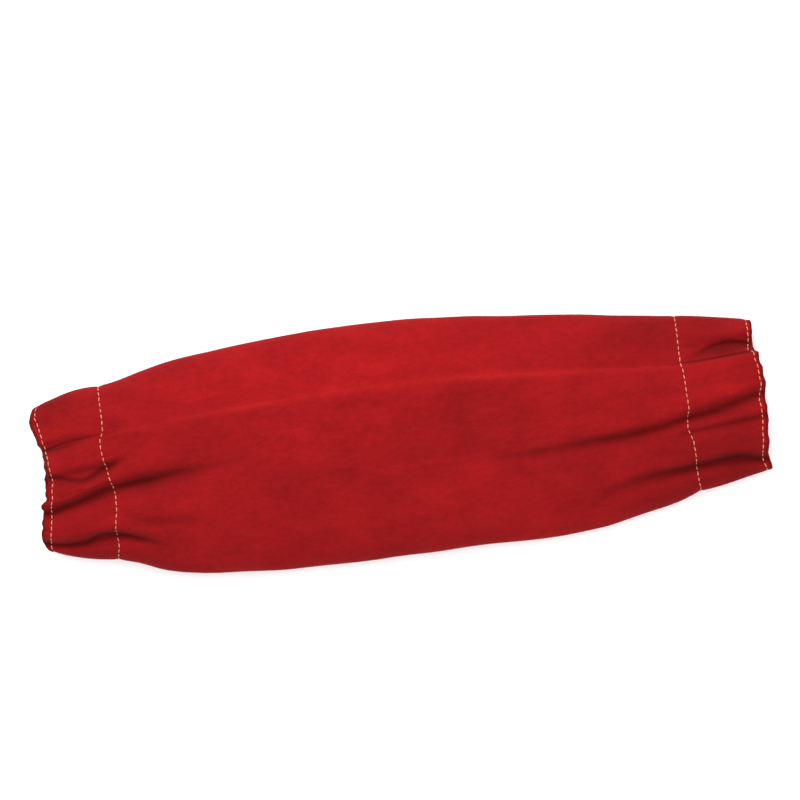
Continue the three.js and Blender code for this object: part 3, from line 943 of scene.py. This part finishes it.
def make_leather():
    """The leather as one closed skin, with the attributes that its material reads."""
    profile = sleeve_profile()
    x = np.array([stop[0] for stop in profile])
    depth = np.array([stop[1] for stop in profile])[:, None]
    allowance = np.array([stop[2] for stop in profile])[:, None]
    shift = np.array([stop[3] for stop in profile])[:, None]
    zone = np.array([stop[4] for stop in profile])
    across, top = round_the_sleeve(x)
    made = layer(x[:, None], across, top, depth, allowance, shift)
    points, _, seam_away, sink, shade, nominal = made
    outer = zone == "outer"
    points[outer] = outer_points(x[outer, None], across[outer], top[outer])[0]
    points += CENTRE_SHIFT
    faces = skin(len(profile), across.shape[1])
    piece = mesh_object("leather_sleeve", points.reshape(-1, 3), faces)

    away = seam_away / MM
    on_top = top & outer[:, None]
    spread = np.ones_like(across)
    inside = np.isin(zone, ("hem", "pocket", "inner"))[:, None] * spread
    from_edge = np.minimum(np.abs(x - ARM_EDGE), np.abs(x - WRIST_EDGE))[:, None] * spread
    # Painted shade in the seam's groove
    groove = bell(away / GROOVE_SHADE_WIDTH) * groove_share(x)[:, None]
    tone = tone_with_painted_shade(nominal[..., 0], nominal[..., 1])
    # Painted highlight along the seam's lip, unevenly strong
    seam_highlight = bell((away - HIGHLIGHT_MIDDLE) / HIGHLIGHT_WIDTH) * seam_look("seam_highlight", x)[:, None]
    seam_highlight = seam_highlight * (HIGHLIGHT_MEAN + noise_form(nominal, HIGHLIGHT_UNEVEN))
    # Painted shade in the band above the seam
    above = bell((away - SHADED_MIDDLE) / SHADED_WIDTH) * ease(x, *SHADED_SEAM)[:, None]
    give_attribute(piece, "inside", inside)
    give_attribute(piece, "rim", 1 - ease(from_edge, *RIM_FADE))
    # Painted shade, darker in deeper valleys
    give_attribute(piece, "valley_shade", np.clip(sink / DARKEST_SINK, 0, 1))
    give_attribute(piece, "groove", np.where(on_top, groove, 0))
    give_attribute(piece, "shade", shade)
    give_attribute(piece, "tone", np.where(on_top, tone, 1))
    give_attribute(piece, "seam_highlight", np.where(on_top, seam_highlight, 0))
    give_attribute(piece, "above_seam", np.where(on_top, above, 0))
    return piece


def model_stitch():
    """One stitch along X: a short round thread whose ends dip into the leather."""
    bpy.ops.object.select_all(action="DESELECT")
    bpy.ops.mesh.primitive_uv_sphere_add(
        segments=STITCH_SIDES, ring_count=STITCH_RINGS, radius=1, rotation=(0, math.pi / 2, 0)
    )
    stitch = bpy.context.active_object
    bpy.ops.object.transform_apply(location=False, rotation=True, scale=False)
    bpy.ops.object.mode_set(mode="EDIT")
    work = bmesh.from_edit_mesh(stitch.data)
    for v in work.verts:
        end = v.co.x
        v.co.x = end * STITCH_LENGTH / 2
        v.co.y *= STITCH_THICKNESS / 2
        v.co.z = v.co.z * STITCH_THICKNESS / 2 - STITCH_SINK * end**STITCH_DIP_POWER
    bmesh.update_edit_mesh(stitch.data)
    bpy.ops.object.mode_set(mode="OBJECT")
    return stitch


def row_path(edge, inward, off, wander):
    """Points and outward directions once round the sleeve along a stitch row."""
    upper = np.linspace(1, -1, ROW_POINTS, endpoint=False)
    shares = np.sin(np.concatenate([upper, -upper]) * math.pi / 2)[None, :]
    tops = (np.arange(2 * ROW_POINTS) < ROW_POINTS)[None, :]
    if wander:
        table = columns(EDGE_ROW_WANDER)
        strayed = np.interp(shares, table["across"][::-1], table[wander][::-1]) * MM
        off = off + np.where(tops, strayed, 0) * (1 - shares**EDGE_FADE)
    points, outward = outer_points(edge + inward * off * np.ones_like(shares), shares, tops)
    return points[0] + CENTRE_SHIFT, outward[0]


def sew_row(name, path, stitch, chance):
    """Copies of the stitch at an even pitch along a row, joined as one piece."""
    points, outward = path
    steps = np.linalg.norm(np.diff(points, axis=0, append=points[:1]), axis=1)
    travelled = np.concatenate([[0], np.cumsum(steps)])
    total = travelled[-1]
    count = int(round(total / STITCH_PITCH))
    closed = np.vstack([points, points[:1]])
    facing = np.vstack([outward, outward[:1]])
    shape = np.array([v.co for v in stitch.data.vertices])
    stitch_faces = [tuple(f.vertices) for f in stitch.data.polygons]
    all_points = []
    all_faces = []

    def at(distance, values):
        """The path's values at this distance along it."""
        return np.array([np.interp(distance % total, travelled, values[:, i]) for i in range(3)])

    for n in range(count):
        middle = (n + 0.5) * total / count
        up = at(middle, facing)
        start = at(middle - STITCH_LENGTH / 2, closed)
        stop = at(middle + STITCH_LENGTH / 2, closed)
        across_row = np.cross(up, stop - start)
        across_row /= np.linalg.norm(across_row)
        start = start + across_row * chance.uniform(-STITCH_STRAY, STITCH_STRAY)
        stop = stop + across_row * chance.uniform(-STITCH_STRAY, STITCH_STRAY)
        along = (stop - start) / np.linalg.norm(stop - start)
        up = up - along * np.dot(up, along)
        up /= np.linalg.norm(up)
        side = np.cross(up, along)
        place = at(middle, closed) + up * STITCH_THICKNESS * STITCH_SEAT
        first = len(all_points)
        for p in shape:
            all_points.append(place + along * p[0] + side * p[1] + up * p[2])
        all_faces += [tuple(first + i for i in f) for f in stitch_faces]
    return mesh_object(name, all_points, all_faces)


def make_stitches():
    """The two rows of each cuff, one at its edge and one at the hem's end."""
    stitch = model_stitch()
    chance = np.random.default_rng(STITCH_SEED)
    rows = (
        ("arm_edge_stitches", ARM_EDGE, 1, EDGE_ROW_INSET, "arm"),
        ("arm_inner_stitches", ARM_EDGE, 1, ARM_CASING, None),
        ("wrist_edge_stitches", WRIST_EDGE, -1, EDGE_ROW_INSET, "wrist"),
        ("wrist_inner_stitches", WRIST_EDGE, -1, WRIST_CASING, None),
    )
    made = [sew_row(name, row_path(*where), stitch, chance) for name, *where in rows]
    bpy.data.objects.remove(stitch)
    return made


def new_material(name):
    """A material with its nodes, its links and its shader."""
    material = bpy.data.materials.new(name)
    material.use_nodes = True
    nodes = material.node_tree.nodes
    shader = nodes["Principled BSDF"]
    shader.inputs["Roughness"].default_value = ROUGHNESS[name]
    return material, nodes, material.node_tree.links, shader


def noise_node(nodes, links, place, scale, detail, stretch):
    mapping = nodes.new("ShaderNodeMapping")
    mapping.inputs["Scale"].default_value = stretch
    links.new(place, mapping.inputs["Vector"])
    texture = nodes.new("ShaderNodeTexNoise")
    texture.inputs["Scale"].default_value = scale
    texture.inputs["Detail"].default_value = detail
    links.new(mapping.outputs["Vector"], texture.inputs["Vector"])
    return texture.outputs["Fac"]


def math_node(nodes, links, operation, a, b):
    node = nodes.new("ShaderNodeMath")
    node.operation = operation
    for socket, value in zip(node.inputs, (a, b)):
        if isinstance(value, (int, float)):
            socket.default_value = value
        else:
            links.new(value, socket)
    return node.outputs[0]


def weighted_sum(nodes, links, values, weights):
    """The sum of the named values, each times its weight."""
    total = None
    for name, weight in weights.items():
        part = values[name]
        if weight != 1:
            part = math_node(nodes, links, "MULTIPLY", part, weight)
        total = part if total is None else math_node(nodes, links, "ADD", total, part)
    return total


def mix_colour(nodes, links, share, first, second):
    """A mix of two colours. The first may also be another node's output."""
    node = nodes.new("ShaderNodeMix")
    node.data_type = "RGBA"
    links.new(share, node.inputs["Factor"])
    if isinstance(first, tuple):
        node.inputs[6].default_value = (*first, 1)
    else:
        links.new(first, node.inputs[6])
    node.inputs[7].default_value = (*second, 1)
    return node.outputs[2]


def stretched(nodes, links, value, low, high):
    """A value brought from between low and high to between 0 and 1."""
    node = nodes.new("ShaderNodeMapRange")
    node.inputs["From Min"].default_value = low
    node.inputs["From Max"].default_value = high
    links.new(value, node.inputs["Value"])
    return node.outputs["Result"]


def attribute_node(nodes, name):
    node = nodes.new("ShaderNodeAttribute")
    node.attribute_name = name
    return node.outputs["Fac"]


def add_bump(nodes, links, shader, height, distance, strength):
    node = nodes.new("ShaderNodeBump")
    node.inputs["Strength"].default_value = strength
    node.inputs["Distance"].default_value = distance
    links.new(height, node.inputs["Height"])
    links.new(node.outputs["Normal"], shader.inputs["Normal"])


def suede():
    """Red split leather: a clouded, brushed nap, with painted shade in its creases and folds, a
    painted highlight along the seam's lip, and darker along the cuffs' edges.
    """
    material, nodes, links, shader = new_material("red_suede")
    place = nodes.new("ShaderNodeTexCoord").outputs["Object"]
    noises = {}
    for name, settings in NAP_NOISES.items():
        noises[name] = noise_node(nodes, links, place, *settings)
    tone = weighted_sum(nodes, links, noises, TONE_WEIGHTS)
    tone = stretched(nodes, links, tone, *TONE_RANGE)
    # The patches' tone, with its painted shade and painted light, scales the colour's value
    lighten = nodes.new("ShaderNodeHueSaturation")
    links.new(mix_colour(nodes, links, tone, SUEDE_DEEP, SUEDE_BRIGHT), lighten.inputs["Color"])
    links.new(attribute_node(nodes, "tone"), lighten.inputs["Value"])
    colour = lighten.outputs["Color"]
    # The seam's painted highlight and the painted shade of creases and folds are drawn into the
    # colour here
    for name, share, target in NAP_COLOURS:
        share = math_node(nodes, links, "MULTIPLY", attribute_node(nodes, name), share)
        colour = mix_colour(nodes, links, share, colour, target)
    links.new(colour, shader.inputs["Base Color"])
    for name, value in SUEDE_SHINE.items():
        shader.inputs[name].default_value = value
    relief = weighted_sum(nodes, links, noises, RELIEF_WEIGHTS)
    add_bump(nodes, links, shader, relief, *SUEDE_BUMP)
    return material


def thread():
    """Cream waxed thread, a little uneven, with a painted red reflection of the leather in its
    colour.
    """
    material, nodes, links, shader = new_material("reddened_thread")
    place = nodes.new("ShaderNodeTexCoord").outputs["Object"]
    tone = noise_node(nodes, links, place, *THREAD_NOISE)
    tone = stretched(nodes, links, tone, *THREAD_RANGE)
    colour = mix_colour(nodes, links, tone, THREAD_DARK_REDDENED, THREAD_PALE_REDDENED)
    links.new(colour, shader.inputs["Base Color"])
    return material


def webbing():
    """Off-white woven elastic with fine ribs."""
    material, nodes, links, shader = new_material("elastic_webbing")
    place = nodes.new("ShaderNodeTexCoord").outputs["Object"]
    ribs = nodes.new("ShaderNodeTexWave")
    ribs.inputs["Scale"].default_value = RIB_SCALE
    ribs.inputs["Distortion"].default_value = RIB_WAVER
    links.new(place, ribs.inputs["Vector"])
    shader.inputs["Base Color"].default_value = (*WEBBING, 1)
    add_bump(nodes, links, shader, ribs.outputs["Fac"], *WEBBING_BUMP)
    return material


def make_band(name, edge, inward, casing):
    """A flat elastic band in its casing, following the same relief as the leather round it."""
    start, stop = casing_stops(casing)
    near = LEATHER + CLEARANCE
    offs = spaced(start, stop, BAND_STOP)
    profile = [(off, near) for off in offs]
    profile += [(off, near + BAND_THICKNESS) for off in offs[::-1]]
    if inward < 0:
        profile.reverse()
    x = np.array([edge + inward * off for off, _ in profile])
    depth = np.array([deep for _, deep in profile])[:, None]
    across, top = round_the_sleeve(x)
    points = layer(x[:, None], across, top, depth)[0] + CENTRE_SHIFT
    return mesh_object(name, points.reshape(-1, 3), skin(len(profile), across.shape[1]))


def give(piece, material):
    """A piece's material, and its place in the frame."""
    piece.data.materials.append(material)
    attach(piece, "root")


leather = make_leather()
give(leather, suede())
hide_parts("sleeve_body")

# The elastic bands, hidden in their casings
band_material = webbing()
for band_name, node, edge, inward, casing in (
    ("arm_band", "arm_elastic", ARM_EDGE, 1, ARM_CASING),
    ("wrist_band", "wrist_elastic", WRIST_EDGE, -1, WRIST_CASING),
):
    band = make_band(band_name, edge, inward, casing)
    give(band, band_material)
    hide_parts(node)

thread_material = thread()
for row in make_stitches():
    give(row, thread_material)

bpy.ops.object.select_all(action="DESELECT")
bpy.ops.mesh.primitive_plane_add(size=FLOOR_SIZE)
floor = bpy.context.active_object
floor.name = "floor"
for corner in floor.data.vertices:
    corner.co.z = -FLOOR_GAP
floor_material, _, _, floor_shader = new_material("pale_floor")
floor_shader.inputs["Base Color"].default_value = (*FLOOR_GREY, 1)
floor_shader.inputs["Specular IOR Level"].default_value = 0.0
floor.data.materials.append(floor_material)

for light_name, place, size, watts in LIGHTS:
    light = bpy.data.lights.new(light_name, "AREA")
    light.energy = watts
    light.size = size
    lamp = bpy.data.objects.new(light_name, light)
    lamp.location = place
    lamp.rotation_euler = (Vector((0, 0, 0)) - Vector(place)).to_track_quat("-Z", "Y").to_euler()
    bpy.context.scene.collection.objects.link(lamp)
world = bpy.data.worlds.new("studio")
world.use_nodes = True
background = world.node_tree.nodes["Background"]
background.inputs["Color"].default_value = (1, 1, 1, 1)
background.inputs["Strength"].default_value = 1.0
bpy.context.scene.world = world
bpy.context.scene.view_settings.view_transform = "Standard"

right = Vector((math.cos(TURN), -math.sin(TURN), 0))
up = Vector((math.sin(TURN), math.cos(TURN), 0))
camera_data = bpy.data.cameras.new("photo_camera")
camera_data.sensor_width = SENSOR
camera_data.lens = SENSOR * (CAMERA_HEIGHT - SHARP_HEIGHT) / VIEW_WIDTH
camera = bpy.data.objects.new("photo_camera", camera_data)
camera.location = right * VIEW_RIGHT + up * VIEW_UP + Vector((0, 0, CAMERA_HEIGHT))
camera.rotation_euler = (0, 0, -TURN)
bpy.context.scene.collection.objects.link(camera)
bpy.context.scene.camera = camera

bpy.context.view_layer.update()
